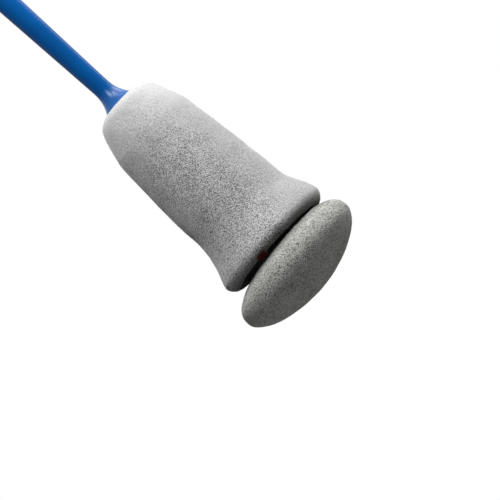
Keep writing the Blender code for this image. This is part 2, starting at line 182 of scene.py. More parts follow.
class Graph:
    """The node tree of a material or world, and the few calls that it needs."""

    def __init__(self, owner: Union[bpy.types.Material, bpy.types.World]) -> None:
        """Turns the owner's nodes on, and finds the shader that they start with.

        Args:
            owner: the material or world.
        """
        owner.use_nodes = True
        self.owner = owner
        self.tree = owner.node_tree
        self.shader = next(n for n in self.tree.nodes if not n.type.startswith("OUTPUT"))

    @classmethod
    def of_material(cls, name: str) -> "Graph":
        """A new material's graph."""
        return cls(bpy.data.materials.new(name))

    def put(self, socket: bpy.types.NodeSocket, value: Link) -> None:
        """Links a value to a socket, or sets the socket to it.

        Args:
            socket: the socket that takes it.
            value: another node's socket, a number or a colour.
        """
        if isinstance(value, Number):
            value = value.socket
        if isinstance(value, bpy.types.NodeSocket):
            self.tree.links.new(value, socket)
        else:
            socket.default_value = value

    def add(
        self,
        kind: str,
        settings: Optional[dict] = None,
        inputs: Optional[dict] = None,
    ) -> bpy.types.Node:
        """Adds a node.

        Args:
            kind: the node's type.
            settings: what is set on the node before its sockets.
            inputs: value or link of each socket, by name or number.

        Returns:
            The node.
        """
        node = self.tree.nodes.new(kind)
        for key, value in (settings or {}).items():
            setattr(node, key, value)
        for key, value in (inputs or {}).items():
            self.put(node.inputs[key], value)
        return node

    def math(self, operation: str, first: Operand, second: Operand) -> Number:
        """A Math node's result."""
        node = self.add("ShaderNodeMath", {"operation": operation}, {0: first, 1: second})
        return Number(self, node.outputs["Value"])

    def place(self, space: Space = Space.OBJECT) -> bpy.types.NodeSocket:
        """Coordinates of the surface."""
        return self.add("ShaderNodeTexCoord").outputs[space.value]

    def drawn_out(self, place: bpy.types.NodeSocket, share: float) -> bpy.types.NodeSocket:
        """Coordinates shrunk along Z to a share, which draws a pattern out."""
        inputs = {"Vector": place, "Scale": (1.0, 1.0, share)}
        return self.add("ShaderNodeMapping", None, inputs).outputs["Vector"]

    def axis(self, place: bpy.types.NodeSocket, axis: Axis) -> Number:
        """One of a place's coordinates."""
        split = self.add("ShaderNodeSeparateXYZ", None, {"Vector": place})
        return Number(self, split.outputs[axis.value])

    def noise(self, place: bpy.types.NodeSocket, size: float, detail: float = 2.0) -> Number:
        """Soft noise from 0 to 1.

        Args:
            place: coordinates, in metres.
            size: how wide one blotch is, in metres.
            detail: octaves added to the first.

        Returns:
            The noise's value.
        """
        inputs = {"Vector": place, "Scale": 1 / size, "Detail": detail}
        return Number(self, self.add("ShaderNodeTexNoise", None, inputs).outputs["Fac"])

    def pores(self, place: bpy.types.NodeSocket, size: float) -> Number:
        """Round pores, one in each cell, some deep and some shallow.

        Args:
            place: coordinates, in metres.
            size: how wide one cell is, in metres.

        Returns:
            1 in a deep pore's middle, 0 between pores.
        """
        inputs = {"Vector": place, "Scale": 1 / size}
        cell = self.add("ShaderNodeTexVoronoi", {"feature": "F1"}, inputs)
        tone = self.add("ShaderNodeSeparateColor", None, {"Color": cell.outputs["Color"]})
        distance = Number(self, cell.outputs["Distance"])
        near = distance.between(PORE_EDGE_SHARE, PORE_FLOOR_SHARE)
        chance = Number(self, tone.outputs["Red"])
        return near * chance.between(NO_PORE_SHARE, DEEP_PORE_SHARE)

    def mix(self, factor: Link, first: Link, second: Link) -> bpy.types.NodeSocket:
        """A colour between two others."""
        inputs = {0: factor, 6: _rgba(first), 7: _rgba(second)}
        return self.add("ShaderNodeMix", {"data_type": "RGBA"}, inputs).outputs[2]

    def bump(self, height: Number, depth: float) -> None:
        """Raises the surface in a pattern.

        Args:
            height: the pattern's height.
            depth: what a height of 1 stands for, in metres.
        """
        inputs = {"Height": height, "Distance": depth, "Strength": 1.0}
        node = self.add("ShaderNodeBump", None, inputs)
        self.put(self.shader.inputs["Normal"], node.outputs["Normal"])

    def finish(self, **inputs: Link) -> Union[bpy.types.Material, bpy.types.World]:
        """Sets the shader's sockets.

        Args:
            **inputs: value or link of each socket, with underscores for its name's spaces.

        Returns:
            The material or world.
        """
        for key, value in inputs.items():
            self.put(self.shader.inputs[key.replace("_", " ")], _rgba(value))
        return self.owner


def _rgba(value: Link) -> Link:
    """A written colour with its fourth number, and anything else as it is."""
    return (*value, 1.0) if isinstance(value, tuple) and len(value) == 3 else value


@dataclass(frozen=True)
class Foam:
    """Fine open-celled foam: light, speckled struts round darker pores of two sizes.

    With a skin_top, its moulded skin, calmer and paler, gives way to cut foam over skin_depth below
    that height, and the side towards +X is rubbed smoother from rub_start out. The skin's paleness
    is painted light on the top. Between two heights near the groove it grows darker, which is
    painted shade in the groove. A tone of 0 is the pore's colour, partly painted shade in the
    pores, and 1 the strut's.
    """

    name: str
    strut: Colour
    # Colour at tone 0: partly painted shade in the pores, partly the darker grain between them
    pore: Colour
    # Heights between which the foam grows darker, and by how much: painted shade towards the groove
    groove_shade_start: float
    groove_shade_full: float
    groove_shade_drop: float
    skin_top: Optional[float] = None
    sheen: float = 0.3
    skin_depth: float = 0.038
    skin_grain: float = 0.2
    # Painted light: how much paler the skin near the top is made
    painted_top_light: float = 0.26
    rub_start: float = 0.003
    rub_end: float = 0.017
    rubbed_grain: float = 0.4
    middle: float = 0.55
    cell: float = 0.85 * MILLIMETRE
    cell_share: float = 0.45
    fine_cell: float = 0.45 * MILLIMETRE
    speck: float = 0.36 * MILLIMETRE
    speck_share: float = 0.5
    speck_softness: float = 0.14
    speck_rise: float = 0.3
    blotch: float = 9 * MILLIMETRE
    unevenness: float = 0.3
    dark_end: float = 0.3
    light_end: float = 0.95
    pit: float = 0.16 * MILLIMETRE

    def material(self) -> bpy.types.Material:
        """Builds the finish.

        Returns:
            The material.
        """
        graph = Graph.of_material(self.name)
        place = graph.place()
        coarse, fine = graph.pores(place, self.cell), graph.pores(place, self.fine_cell)
        pores = self.cell_share * coarse + (1 - self.cell_share) * fine
        speck = graph.noise(place, self.speck, detail=1)
        speck = speck.between(0.5 - self.speck_softness, 0.5 + self.speck_softness)
        blotch = graph.noise(place, self.blotch)
        grains = self.speck_share * speck + (1 - self.speck_share) * (1 - pores)
        light = grains + self.unevenness * (blotch - 0.5)
        tone = light.between(self.dark_end, self.light_end)
        relief = self.speck_rise * speck - pores
        height = graph.axis(place, Axis.Z)
        if self.skin_top is not None:
            open_cells = height.between(self.skin_top, self.skin_top - self.skin_depth)
            rubbed = graph.axis(place, Axis.X).between(self.rub_start, self.rub_end)
            grain = self.skin_grain + (1 - self.skin_grain) * open_cells
            grain = grain * (1 - (1 - self.rubbed_grain) * rubbed)
            # Painted light: the top near the collar is made paler
            top_light = self.painted_top_light * (1 - open_cells)
            tone = self.middle + (tone - self.middle) * grain + top_light
            relief = relief * grain
        # Painted shade: darker towards the groove between barrel and lens
        groove_shade = height.between(self.groove_shade_start, self.groove_shade_full)
        graph.bump(relief, self.pit)
        return graph.finish(
            Base_Color=graph.mix(tone - self.groove_shade_drop * groove_shade, self.pore, self.strut),
            Roughness=0.95,
            Specular_IOR_Level=0.02,
            Sheen_Weight=self.sheen,
            Sheen_Roughness=0.5,
        )


@dataclass(frozen=True)
class Moulded:
    """Moulded plastic with a faint orange peel and marks of use in its gloss.

    Below polish_top, where use doesn't wear it, it keeps the mould's polish.
    """

    name: str
    colour: Colour
    deep: Colour
    gloss: float = 0.36
    worn: float = 0.46
    shine: float = 0.15
    polish: float = 0.0
    polish_top: float = 0.0
    polish_depth: float = 0.004
    cloud: float = 14 * MILLIMETRE
    cloud_share: float = 0.6
    deep_end: float = 0.3
    bright_end: float = 0.7
    mark: float = 0.7 * MILLIMETRE
    mark_share: float = 0.15
    wear_start: float = 0.35
    wear_full: float = 0.7
    peel: float = 0.9 * MILLIMETRE
    relief: float = 0.004 * MILLIMETRE

    def material(self) -> bpy.types.Material:
        """Builds the finish.

        Returns:
            The material.
        """
        graph = Graph.of_material(self.name)
        place = graph.place()
        cloud = graph.noise(place, self.cloud, detail=3)
        marks = graph.noise(graph.drawn_out(place, self.mark_share), self.mark, detail=3)
        use = self.cloud_share * cloud + (1 - self.cloud_share) * marks
        wear = use.between(self.wear_start, self.wear_full)
        bright = cloud.between(self.deep_end, self.bright_end)
        untouched = self.polish_top - self.polish_depth
        polished = graph.axis(place, Axis.Z).between(self.polish_top, untouched)
        graph.bump(graph.noise(place, self.peel), self.relief)
        return graph.finish(
            Base_Color=graph.mix(bright, self.deep, self.colour),
            Roughness=self.gloss + (self.worn - self.gloss) * wear,
            IOR=1.49,
            Specular_IOR_Level=self.shine,
            Coat_Weight=self.polish * polished,
            Coat_Roughness=self.worn,
        )


@dataclass(frozen=True)
class DrawnSteel:
    """Bright steel with fine lines along its length."""

    name: str
    colour: Colour
    line: float = 0.12 * MILLIMETRE
    line_share: float = 0.02
    relief: float = 0.004 * MILLIMETRE
    gloss: float = 0.22
    dulling: float = 0.16
    shade_share: float = 0.75

    def material(self) -> bpy.types.Material:
        """Builds the finish.

        Returns:
            The material.
        """
        graph = Graph.of_material(self.name)
        place = graph.drawn_out(graph.place(), self.line_share)
        lines = graph.noise(place, self.line, detail=3)
        graph.bump(lines, self.relief)
        dull = tuple(self.shade_share * part for part in self.colour)
        return graph.finish(
            Base_Color=graph.mix(lines, dull, self.colour),
            Roughness=self.gloss + self.dulling * lines,
            Metallic=1.0,
        )


@dataclass(frozen=True)
class Rubber:
    """Matt rubber with a little dust in its grain."""

    name: str
    colour: Colour
    dusty: Colour
    grain: float = 0.25 * MILLIMETRE
    relief: float = 0.01 * MILLIMETRE
    gloss: float = 0.5
    dulling: float = 0.25
    dust_start: float = 0.5
    dust_full: float = 0.8

    def material(self) -> bpy.types.Material:
        """Builds the finish.

        Returns:
            The material.
        """
        graph = Graph.of_material(self.name)
        grain = graph.noise(graph.place(), self.grain, detail=3)
        dust = grain.between(self.dust_start, self.dust_full)
        graph.bump(grain, self.relief)
        return graph.finish(
            Base_Color=graph.mix(dust, self.colour, self.dusty),
            Roughness=self.gloss + self.dulling * grain,
        )


@dataclass(frozen=True)
class Woven:
    """Plain weave on the piece's UV map."""

    name: str
    thread: Colour
    shade: Colour
    threads: float = 14.0
    softness: float = 0.8
    relief: float = 0.05 * MILLIMETRE

    def material(self) -> bpy.types.Material:
        """Builds the finish.

        Returns:
            The material.
        """
        graph = Graph.of_material(self.name)
        place = graph.place(Space.SURFACE)
        turns = 2 * math.pi * self.threads
        across = graph.math("SINE", graph.axis(place, Axis.X) * turns, 0.0)
        along = graph.math("SINE", graph.axis(place, Axis.Y) * turns, 0.0)
        weave = (across * along).between(-self.softness, self.softness)
        graph.bump(weave, self.relief)
        return graph.finish(
            Base_Color=graph.mix(weave, self.shade, self.thread),
            Roughness=0.9,
            Specular_IOR_Level=0.02,
            Sheen_Weight=0.05,
        )


BARREL_FOAM = Foam(
    "barrel_foam",
    strut=(0.565, 0.565, 0.565),
    pore=(0.07, 0.07, 0.07),
    # Painted shade under the lip and in the mouth
    groove_shade_start=RIM - 0.0786,
    groove_shade_full=RIM - 0.0816,
    groove_shade_drop=0.6,
    skin_top=RIM,
)
TIP_FOAM = Foam(
    "tip_foam",
    strut=(0.50, 0.504, 0.476),
    pore=(0.085, 0.086, 0.080),
    # Painted shade on the lens's crown next to the groove
    groove_shade_start=RIM - 0.0862,
    groove_shade_full=RIM - 0.0835,
    groove_shade_drop=0.3,
    sheen=0.05,
)
BLUE = Moulded(
    "blue_polypropylene",
    colour=(0.001, 0.082, 0.30),
    deep=(0.001, 0.072, 0.265),
    gloss=0.2,
    worn=0.27,
    shine=0.05,
    polish=0.5,
    polish_top=RIM + 0.008,
)
WHITE = Moulded(
    "white_polypropylene",
    colour=(0.68, 0.68, 0.66),
    deep=(0.62, 0.62, 0.59),
    gloss=0.4,
    worn=0.55,
)
ACETAL = Moulded(
    "acetal",
    colour=(0.66, 0.65, 0.60),
    deep=(0.60, 0.59, 0.54),
    gloss=0.3,
    worn=0.45,
)
STEEL = DrawnSteel("drawn_steel", colour=(0.60, 0.60, 0.59))
RUBBER = Rubber("ring_rubber", colour=(0.012, 0.012, 0.013), dusty=(0.05, 0.05, 0.05))
CLOTH = Woven("red_tape", thread=(0.08, 0.013, 0.009), shade=(0.038, 0.006, 0.004))


def smooth_line(points: Sequence[tuple[float, float]], spacing: float) -> Outline:
    """Points along a Catmull-Rom curve through the given points.

    Args:
        points: knots of the curve.
        spacing: largest distance between two points of the result.

    Returns:
        The curve's points, the given ones included.
    """
    knots = [Vector(p) for p in points]
    ends = [2 * knots[0] - knots[1]] + knots + [2 * knots[-1] - knots[-2]]
    line: Outline = []
    for a, b, c, d in zip(ends, ends[1:], ends[2:], ends[3:]):
        steps = max(1, math.ceil((c - b).length / spacing))
        for step in range(steps):
            t = step / steps
            square, cube = t * t, t * t * t
            point = 2 * b + (c - a) * t + (2 * a - 5 * b + 4 * c - d) * square
            line.append(tuple((point + (3 * b - a - 3 * c + d) * cube) / 2))
    line.append(tuple(knots[-1]))
    return line


def straight(points: Sequence[tuple[float, float]], spacing: float) -> Outline:
    """Points along straight runs between the given points.

    Args:
        points: corners of the line.
        spacing: largest distance between two points of the result.

    Returns:
        The line's points, the given ones included.
    """
    line: Outline = []
    for a, b in zip(points, points[1:]):
        run = Vector(b) - Vector(a)
        steps = max(1, math.ceil(run.length / spacing))
        line += [tuple(Vector(a) + run * step / steps) for step in range(steps)]
    line.append(tuple(points[-1]))
    return line


def corner(
    centre: tuple[float, float], radius: float, start: float, end: float, steps: int
) -> Outline:
    """Points along an arc.

    Args:
        centre: the arc's middle, as (radius, height).
        radius: its radius.
        start: where it starts, in degrees from +X towards +Z.
        end: where it ends.
        steps: how many runs it has.

    Returns:
        The arc's points, both ends included.
    """
    line: Outline = []
    for step in range(steps + 1):
        angle = math.radians(start + (end - start) * step / steps)
        line.append((centre[0] + radius * math.cos(angle), centre[1] + radius * math.sin(angle)))
    return line


def spun(outline: Outline, segments: int, closed: bool) -> bmesh.types.BMesh:
    """An outline turned about Z into a shell whose faces point outwards.

    Args:
        outline: points as (radius, height).
        segments: steps of the full turn.
        closed: whether the outline's last point joins its first.

    Returns:
        The shell.
    """
    shape = bmesh.new()
    verts = [shape.verts.new((radius, 0.0, height)) for radius, height in outline]
    pairs = list(zip(verts, verts[1:])) + ([(verts[-1], verts[0])] if closed else [])
    edges = [shape.edges.new(pair) for pair in pairs]
    bmesh.ops.spin(
        shape,
        geom=verts + edges,
        axis=(0, 0, 1),
        angle=2 * math.pi,
        steps=segments,
        use_merge=True,
    )
    bmesh.ops.remove_doubles(shape, verts=shape.verts, dist=MERGE_DISTANCE)
    bmesh.ops.recalc_face_normals(shape, faces=shape.faces)
    return shape


def linked(name: str, data: bpy.types.ID) -> bpy.types.Object:
    """Puts a new object in the scene.

    Args:
        name: the object's name.
        data: its mesh, lamp or camera.

    Returns:
        The object.
    """
    made = bpy.data.objects.new(name, data)
    bpy.context.scene.collection.objects.link(made)
    return made


def shaded(mesh: bpy.types.Mesh) -> bpy.types.Mesh:
    """Shades a mesh smooth but for its sharp edges.

    Args:
        mesh: the mesh.

    Returns:
        The same mesh.
    """
    mesh.shade_smooth()
    mesh.set_sharp_from_angle(angle=SHARP_ANGLE)
    return mesh


def to_object(shape: bmesh.types.BMesh, name: str) -> bpy.types.Object:
    """Makes a shape an object at the origin.

    Args:
        shape: the shape, which is freed.
        name: the object's name, and its mesh's.

    Returns:
        The object.
    """
    mesh = bpy.data.meshes.new(name)
    shape.to_mesh(mesh)
    shape.free()
    return linked(name, shaded(mesh))


def combined(made: bpy.types.Object, tool: bpy.types.Object, change: Change) -> bpy.types.Object:
    """Joins a tool's shape to an object or cuts it out, and removes the tool.

    Args:
        made: the object that changes.
        tool: the other shape.
        change: what the tool does.

    Returns:
        The object, with the result as its mesh.
    """
    modifier = made.modifiers.new("combine", "BOOLEAN")
    modifier.operation = change.value
    modifier.solver = "EXACT"
    modifier.object = tool
    bpy.context.view_layer.update()
    evaluated = made.evaluated_get(bpy.context.evaluated_depsgraph_get())
    mesh = bpy.data.meshes.new_from_object(evaluated)
    made.modifiers.clear()
    made.data = shaded(mesh)
    mesh.name = made.name
    bpy.data.objects.remove(tool, do_unlink=True)
    return made


def rounded_box(size: Sequence[float], centre: Sequence[float], radius: float) -> bmesh.types.BMesh:
    """A box with rounded edges.

    Args:
        size: its three sides.
        centre: its middle.
        radius: the rounding's radius.

    Returns:
        The box.
    """
    shape = bmesh.new()
    bmesh.ops.create_cube(shape, size=1.0)
    bmesh.ops.scale(shape, vec=size, verts=shape.verts)
    bmesh.ops.bevel(
        shape,
        geom=shape.edges[:],
        offset=radius,
        offset_type="OFFSET",
        segments=4,
        profile=0.5,
        affect="EDGES",
        material=-1,
    )
    bmesh.ops.translate(shape, vec=centre, verts=shape.verts)
    return shape


def round_tool(name: str, radius: float, depth: float, place: Matrix) -> bpy.types.Object:
    """A cylinder that cuts a bore.

    Args:
        name: its name.
        radius: the bore's radius.
        depth: its length along its own Z.
        place: where its middle lies, and how it is turned.

    Returns:
        The cylinder.
    """
    shape = bmesh.new()
    bmesh.ops.create_cone(
        shape,
        cap_ends=True,
        segments=ROUND_STEPS,
        radius1=radius,
        radius2=radius,
        depth=depth,
        matrix=place,
    )
    return to_object(shape, name)


def dress(
    made: bpy.types.Object,
    finish: bpy.types.Material,
    slot: Slot,
    body: Optional[Body] = None,
    replaces: Iterable[str] = (),
) -> bpy.types.Object:
    """Gives a piece its finish, its body and the CAD nodes that it stands for.

    Args:
        made: the piece.
        finish: its material.
        slot: the record's slot for it; not used.
        body: the body that it rides on, or None for no body.
        replaces: CAD nodes that it stands for.

    Returns:
        The piece.
    """
    made.data.materials.clear()
    made.data.materials.append(finish)
    if body is not None:
        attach(made, body.value)
    nodes = list(replaces)
    if nodes:
        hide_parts(*nodes)
    faces = len(made.data.polygons)
    log.info("%s: %d faces, for %s", made.name, faces, ", ".join(nodes) or "no node")
    return made


def dress_node(name: str, finish: bpy.types.Material) -> None:
    """Gives a CAD node a finish in place of its plain one.

    Args:
        name: the node's name.
        finish: its material.
    """
    node = frame["nodes"][name]
    node.data.materials.clear()
    node.data.materials.append(finish)
    log.info("%s: kept, with %s", name, finish.name)


def ease(value: float, start: float, end: float) -> float:
    """0 before start, 1 after end, and a smooth rise between them."""
    share = min(max((value - start) / (end - start), 0.0), 1.0)
    return share * share * (3 - 2 * share)


@dataclass
class FoamSkin:
    """The unevenness of cut foam: soft lumps, and pits where cells are cut open."""

    lump_size: float = 5.5 * MILLIMETRE
    lump_height: float = 0.16 * MILLIMETRE
    cell: float = 1.0 * MILLIMETRE
    pit_share: float = 0.45
    pit_depth: float = 0.13 * MILLIMETRE

    def height(self, place: Vector) -> float:
        """How far the surface stands above its smooth form.

        Args:
            place: a point of the smooth form.

        Returns:
            The height, below zero in a pit.
        """
        lump = noise.noise(place / self.lump_size) * self.lump_height
        near = noise.voronoi(place / self.cell)[0]
        return lump - ease(near[1] - near[0], 0.0, self.pit_share) * self.pit_depth

    def roughen(self, shape: bmesh.types.BMesh) -> None:
        """Moves each point of a shape along its normal.

        Args:
            shape: the shape that changes.
        """
        shape.normal_update()
        moves = [vert.normal * self.height(vert.co) for vert in shape.verts]
        for vert, move in zip(shape.verts, moves):
            vert.co += move


WAIST_SKIN = FoamSkin(lump_height=0.05 * MILLIMETRE, pit_depth=0.08 * MILLIMETRE)


@dataclass
class Head:
    """Foam barrel with its sleeve and tab."""

    top: float = RIM
    lip_radius: float = 0.0254
    lip_depth: float = 0.0782
    seat_radius: float = 0.0072
    seat_depth: float = 0.0016
    held_radius: float = 0.01008
    bore_radius: float = 0.0066
    mouth_rise: float = 0.00035
    lip_drop: float = 0.00347
    waist_radius: float = 0.008
    segments: int = 400
    spacing: float = 0.42 * MILLIMETRE
    bore_spacing: float = 4 * MILLIMETRE
    side_shares: tuple = (
        (0.374, 0.006),
        (0.480, 0.024),
        (0.547, 0.054),
        (0.618, 0.115),
        (0.675, 0.175),
        (0.715, 0.238),
        (0.760, 0.408),
        (0.801, 0.614),
        (0.819, 0.792),
        (0.878, 0.885),
        (0.956, 0.946),
        (0.9855, 0.968),
        (1.005, 0.990),
    )
    lip_shares: tuple = (
        (1.003, 0.08),
        (0.984, 0.39),
        (0.962, 0.605),
        (0.930, 0.83),
        (0.888, 0.96),
        (0.850, 1.00),
        (0.764, 0.79),
        (0.610, 0.28),
        (0.472, 0.00),
    )
    off_centre: float = 0.57 * MILLIMETRE
    slack: float = 0.38 * MILLIMETRE
    slack_depth: float = 0.058
    slack_reach: float = 0.007
    fullness: float = 0.95 * MILLIMETRE
    full_depth: float = 0.0715
    full_reach: float = 0.0048
    sleeve_bore: float = 0.0047
    sleeve_radius: float = 0.0063
    sleeve_top: float = 0.0013
    sleeve_edge: float = 0.25 * MILLIMETRE
    slot_reach: float = 0.0055
    slot_width: float = 0.0022
    slot_bottom: float = 0.0303
    slot_round: float = 0.3 * MILLIMETRE
    tab_knot: int = 2
    tab_width: float = 0.004
    tab_length: float = 0.0026
    tab_thickness: float = 0.0003
    tab_standoff: float = 0.0002
    tab_shift: float = 0.0011
    tab_curl: float = 0.010
    tab_turn: float = math.radians(16.0)

    def lip_line(self) -> Outline:
        """Traces the lip and mouth, from the widest place in to the roof.

        Returns:
            Knots as (radius, height).
        """
        line: Outline = []
        for across, down in self.lip_shares:
            depth = self.lip_depth + down * self.lip_drop
            line.append((across * self.lip_radius, self.top - depth))
        return line

    def set_of_foam(self, place: Vector) -> Vector:
        """How far use has pushed the foam. The collar holds it near the bore.

        Args:
            place: a point of the round form.

        Returns:
            The push, towards +X.
        """
        depth = self.top - place.z
        radius = math.hypot(place.x, place.y)
        free = ease(radius, self.seat_radius, self.held_radius)
        waist = math.exp(-(((depth - self.slack_depth) / self.slack_reach) ** 2))
        flare = math.exp(-(((depth - self.full_depth) / self.full_reach) ** 2))
        side = max(place.x / max(radius, MERGE_DISTANCE), 0.0)
        push = self.off_centre + self.slack * waist + self.fullness * flare * side
        return Vector((push * free, 0.0, 0.0))

    def barrel(self) -> bpy.types.Object:
        """Builds the bell of foam: domed top, slim waist, flared lip and hollow mouth.

        Returns:
            The piece.
        """
        side = [(self.seat_radius, self.top)]
        for across, down in self.side_shares:
            side.append((across * self.lip_radius, self.top - down * self.lip_depth))
        roof = self.top - self.lip_depth + self.mouth_rise
        knots = side + self.lip_line() + [(self.waist_radius, roof)]
        line = smooth_line(knots, self.spacing)
        seat = self.top - self.seat_depth
        inner = [(self.bore_radius, roof), (self.bore_radius, seat), (self.seat_radius, seat)]
        line += straight([line[-1]] + inner, self.bore_spacing)[1:]
        shape = spun(line, self.segments, closed=True)
        for vert in shape.verts:
            vert.co += self.set_of_foam(vert.co)
        FoamSkin().roughen(shape)
        made = to_object(shape, "foam_barrel")
        dress(made, BARREL_FOAM.material(), Slot.FOAM, Body.HEAD, ["sponge_barrel"])
        return made

    def sleeve(self) -> bpy.types.Object:
        """Builds the tube in the barrel, with two slots for the spigot's keys.

        Returns:
            The piece.
        """
        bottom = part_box("sleeve")[0].z
        top = self.top - self.sleeve_top
        edge = self.sleeve_edge
        line = corner((self.sleeve_bore + edge, top - edge), edge, 180, 90, 3)
        line += corner((self.sleeve_radius - edge, top - edge), edge, 90, 0, 3)
        line += [(self.sleeve_radius, bottom), (self.sleeve_bore, bottom)]
        made = to_object(spun(line, ROUND_STEPS, closed=True), "sleeve_tube")
        height = self.slot_bottom
        size = (2 * self.slot_reach, self.slot_width, height)
        centre = (0.0, 0.0, self.top - self.slot_bottom + height / 2)
        tool = to_object(rounded_box(size, centre, self.slot_round), "slot_tool")
        combined(made, tool, Change.CUT)
        return dress(made, WHITE.material(), Slot.WHITE, Body.HEAD, ["sleeve"])

    def tab(self) -> bpy.types.Object:
        """Builds the small plain tape tab, which lies on the lip and curls round it.

        Returns:
            The piece.
        """
        shape = bmesh.new()
        bmesh.ops.create_grid(shape, x_segments=24, y_segments=18, size=0.5, calc_uvs=True)
        for vert in shape.verts:
            across = vert.co.x * self.tab_width
            along = vert.co.y * self.tab_length
            up = (across**2 / self.lip_radius + along**2 / self.tab_curl) / 2
            vert.co = (across, along, up)
        bmesh.ops.solidify(shape, geom=shape.faces[:], thickness=self.tab_thickness)
        bmesh.ops.recalc_face_normals(shape, faces=shape.faces)
        outer, inner = self.lip_line()[self.tab_knot : self.tab_knot + 2]
        slope = math.atan2(outer[1] - inner[1], outer[0] - inner[0])
        middle = (0.0, -(outer[0] + inner[0]) / 2, (outer[1] + inner[1]) / 2)
        place = (
            Matrix.Rotation(-self.tab_turn, 4, "Z")
            @ Matrix.Translation(middle)
            @ Matrix.Rotation(-slope, 4, "X")
            @ Matrix.Translation((0.0, self.tab_shift, -self.tab_standoff - self.tab_thickness))
        )
        bmesh.ops.transform(shape, matrix=place, verts=shape.verts)
        made = to_object(shape, "tape_tab")
        return dress(made, CLOTH.material(), Slot.CLOTH, Body.HEAD, ["groove_tag"])

    def build(self) -> None:
        """Builds every piece of the head."""
        self.barrel()
        self.sleeve()
        self.tab()
        dress_node("sleeve_plug", ACETAL.material())
        dress_node("ball_stud", STEEL.material())


@dataclass
class Tip:
    """Foam lens that leans on the ball, with the foam waist above it.

    Use has set the lens's belly over towards +X, by belly_shift at its lowest point.
    """

    radius: float = 0.0293
    crown: float = 0.0102
    belly: float = 0.0127
    crown_power: float = 2.6
    belly_power: float = 1.84
    belly_shift: float = 0.0007
    lean: float = math.radians(3.27)
    bore_radius: float = 0.0063
    bore_bottom: float = 0.0055
    waist_radius: float = 0.008
    waist_height: float = 0.00345
    waist_hole: float = 0.0019
    waist_hollow: float = 0.35 * MILLIMETRE
    waist_spacing: float = 0.4 * MILLIMETRE
    side_spacing: float = 0.3 * MILLIMETRE
    waist_segments: int = 120
    hole_flare: float = 0.7 * MILLIMETRE
    gap: float = 0.0003

    def __post_init__(self) -> None:
        """Reads the middle of the lens from the joint that it turns about."""
        joint = next(j for j in frame["joints"] if j["name"] == "tip_nod")
        self.middle = Vector(joint["pos_m"])

    def place(self) -> Matrix:
        """From the lens's own upright place to where it leans."""
        return Matrix.Translation(self.middle) @ Matrix.Rotation(-self.lean, 4, "Y")

    def lens(self) -> bpy.types.Object:
        """Builds the lens of foam, flatter above than below, bored for its socket.

        Returns:
            The piece.
        """
        shape = bmesh.new()
        bmesh.ops.create_icosphere(shape, subdivisions=7, radius=1.0)
        for vert in shape.verts:
            upper = vert.co.z > 0
            power = self.crown_power if upper else self.belly_power
            flat = math.hypot(vert.co.x, vert.co.y)
            reach = (flat**power + abs(vert.co.z) ** power) ** (1 / power)
            vert.co = vert.co / reach
            vert.co.x *= self.radius
            vert.co.y *= self.radius
            vert.co.x += self.belly_shift * min(vert.co.z, 0.0) ** 2
            vert.co.z *= self.crown if upper else self.belly
        bmesh.ops.transform(shape, matrix=self.place(), verts=shape.verts)
        FoamSkin().roughen(shape)
        made = to_object(shape, "foam_lens")
        top = 2 * self.crown
        depth = top + self.bore_bottom
        place = self.place() @ Matrix.Translation((0, 0, top - depth / 2))
        combined(made, round_tool("bore_tool", self.bore_radius, depth, place), Change.CUT)
        dress(made, TIP_FOAM.material(), Slot.FOAM, Body.TIP, ["sponge_tip"])
        return made

    def waist(self) -> bpy.types.Object:
        """Builds the foam waist between barrel and lens.

        Returns:
            The piece.
        """
        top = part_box("sponge_neck")[1].z
        shoulder = self.middle.z + self.crown + self.waist_height - self.gap
        boss = self.bore_radius
        outline = [(self.waist_hole, top), (boss, top), (boss, shoulder)]
        line = straight(outline, self.waist_spacing)
        foot = self.middle.z + self.crown + self.gap
        side = [
            (self.waist_radius, shoulder),
            (self.waist_radius - self.waist_hollow, (shoulder + foot) / 2),
            (self.waist_radius, foot),
        ]
        line += straight([(boss, shoulder), side[0]], self.waist_spacing)[1:]
        line += smooth_line(side, self.side_spacing)[1:]
        hole = self.waist_hole + self.hole_flare
        line += straight([side[-1], (hole, foot)], self.waist_spacing)[1:]
        shape = spun(line, self.waist_segments, closed=True)
        tilt = Matrix.Rotation(-self.lean, 4, "Y")
        for vert in shape.verts:
            share = ease(vert.co.z, shoulder, foot)
            leaned = tilt @ (vert.co - self.middle) + self.middle
            vert.co = vert.co.lerp(leaned, share)
        WAIST_SKIN.roughen(shape)
        made = to_object(shape, "foam_waist")
        dress(made, TIP_FOAM.material(), Slot.FOAM, None, ["sponge_neck"])
        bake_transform(made)
        return made

    def build(self) -> None:
        """Builds the tip's pieces."""
        self.lens()
        self.waist()
        dress_node("tip_socket", ACETAL.material())


